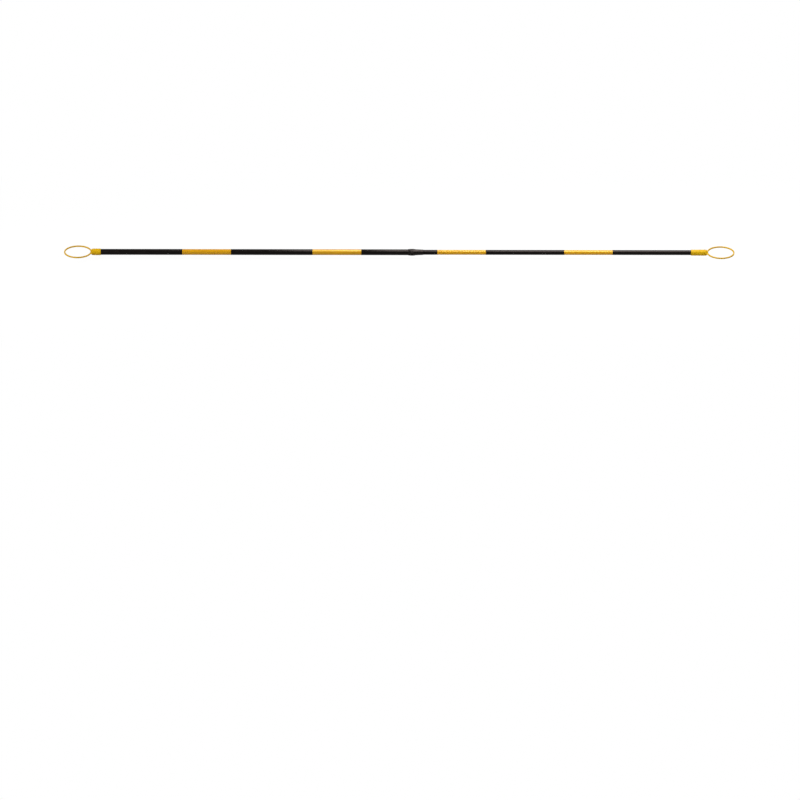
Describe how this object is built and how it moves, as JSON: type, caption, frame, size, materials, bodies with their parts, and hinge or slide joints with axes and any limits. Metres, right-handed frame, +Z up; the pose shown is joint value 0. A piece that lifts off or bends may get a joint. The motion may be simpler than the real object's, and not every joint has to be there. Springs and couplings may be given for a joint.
{
  "type": "cone bar",
  "caption": "Striped telescopic bar with a round hoop at each end that drops over cones or bollard heads; the slim tube slides out of the wide tube and twists to lock.",
  "frame": {"origin": "under the middle of the drawn-out bar, level with its lowest point", "axes": "+X along the bar from the wide tube to the slim tube, +Z up along the axes of both hoops, +Y across the bar"},
  "size_m": [2.3461, 0.0964, 0.0238],
  "materials": {
    "tube_yellow": "extruded, satin gloss",
    "moulded_yellow": "moulded, satin",
    "black_tape": "vinyl tape, satin gloss",
    "moulded_black": "moulded, fine matt",
    "natural_plastic": "moulded, smooth",
    "grey_plastic": "moulded, smooth",
    "plated_steel": "bright zinc plate"
  },
  "bodies": {
    "outer": {"outer_eye": "moulded_yellow", "outer_tube": "tube_yellow", "outer_band_1": "black_tape", "outer_band_2": "black_tape", "outer_band_3": "black_tape", "nose_collar": "moulded_black"},
    "carriage": {"guide_bush": "natural_plastic"},
    "inner": {"inner_tube": "tube_yellow", "inner_band_1": "black_tape", "inner_band_2": "black_tape", "inner_band_3": "black_tape", "inner_eye": "moulded_yellow", "lock_plug": "moulded_black", "cam_retainer": "plated_steel", "retainer_screw": "plated_steel"},
    "cam": {"lock_cam": "grey_plastic"}
  },
  "joints": [
    {"name": "extend", "type": "slide", "parent": "outer", "child": "carriage", "axis": [1, 0, 0], "range_m": [-0.936, 0]},
    {"name": "twist", "type": "hinge", "parent": "carriage", "child": "inner", "pos_m": [0.03465, 0, 0.01193], "axis": [1, 0, 0], "range_deg": [-24, 24]},
    {"name": "cam_turn", "type": "hinge", "parent": "inner", "child": "cam", "pos_m": [0.00835, 0, 0.01283], "axis": [1, 0, 0], "range_deg": [-24, 24]}
  ],
  "couplings": [
    {"joint": "cam_turn", "follows": "twist", "ratio": -1}
  ]
}
